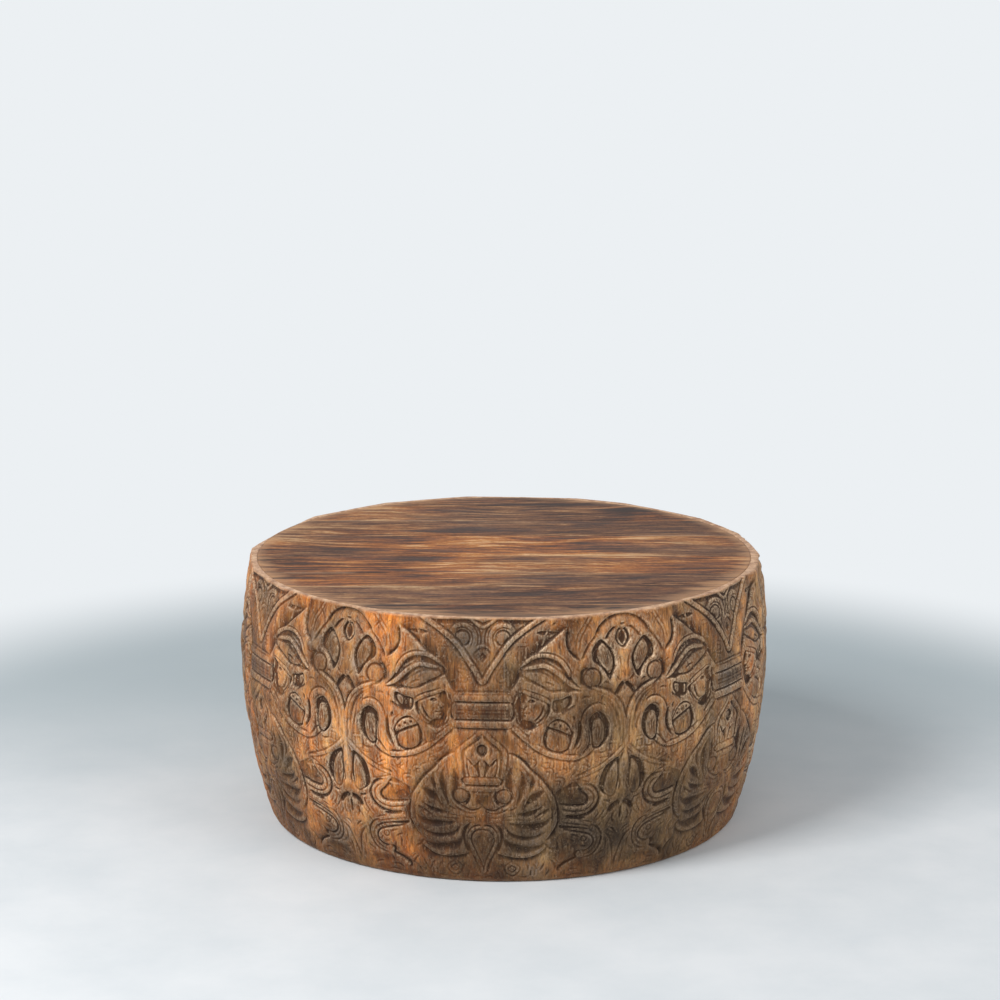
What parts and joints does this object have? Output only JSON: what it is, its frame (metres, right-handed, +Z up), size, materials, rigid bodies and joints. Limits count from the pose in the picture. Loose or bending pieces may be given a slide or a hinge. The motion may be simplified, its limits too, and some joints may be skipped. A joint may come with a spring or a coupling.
{
  "type": "drum coffee table",
  "caption": "Round barrel-sided drum coffee table of solid wood, with a flush boarded top and staves carved in a repeated acanthus and strapwork relief.",
  "frame": {"origin": "on the floor, under the middle of the drum", "axes": "+Z up along the drum's axis; the boards of the top run along X and the front looks along -Y"},
  "size_m": [0.914, 0.914, 0.45],
  "materials": {
    "stave_wood": "hand-carved, stained and waxed reclaimed hardwood, darker in its hollows",
    "top_wood": "planed boards, streaky brown stain, satin wax",
    "inner_wood": "sawn and unfinished",
    "screw_steel": "zinc-plated, dull"
  },
  "bodies": {
    "root": {"batten_left": "inner_wood", "batten_middle": "inner_wood", "batten_right": "inner_wood", "batten_screws": "screw_steel", "lower_hoop_back_left": "inner_wood", "lower_hoop_back_right": "inner_wood", "lower_hoop_front_left": "inner_wood", "lower_hoop_front_right": "inner_wood", "stave_01": "stave_wood", "stave_02": "stave_wood", "stave_03": "stave_wood", "stave_04": "stave_wood", "stave_05": "stave_wood", "stave_06": "stave_wood", "stave_07": "stave_wood", "stave_08": "stave_wood", "stave_09": "stave_wood", "stave_10": "stave_wood", "stave_11": "stave_wood", "stave_12": "stave_wood", "stave_13": "stave_wood", "stave_14": "stave_wood", "stave_15": "stave_wood", "stave_16": "stave_wood", "stave_17": "stave_wood", "stave_18": "stave_wood", "stave_19": "stave_wood", "stave_20": "stave_wood", "stave_21": "stave_wood", "stave_22": "stave_wood", "stave_23": "stave_wood", "stave_24": "stave_wood", "stave_25": "stave_wood", "stave_26": "stave_wood", "stave_27": "stave_wood", "stave_28": "stave_wood", "stave_29": "stave_wood", "stave_30": "stave_wood", "stave_31": "stave_wood", "stave_32": "stave_wood", "stave_33": "stave_wood", "stave_34": "stave_wood", "stave_35": "stave_wood", "stave_36": "stave_wood", "stave_screws": "screw_steel", "top_board_1": "top_wood", "top_board_2": "top_wood", "top_board_3": "top_wood", "top_board_4": "top_wood", "top_board_5": "top_wood", "top_board_6": "top_wood", "top_board_7": "top_wood", "top_board_8": "top_wood", "top_screws": "screw_steel", "upper_hoop_back_left": "inner_wood", "upper_hoop_back_right": "inner_wood", "upper_hoop_front_left": "inner_wood", "upper_hoop_front_right": "inner_wood"}
  },
  "joints": []
}
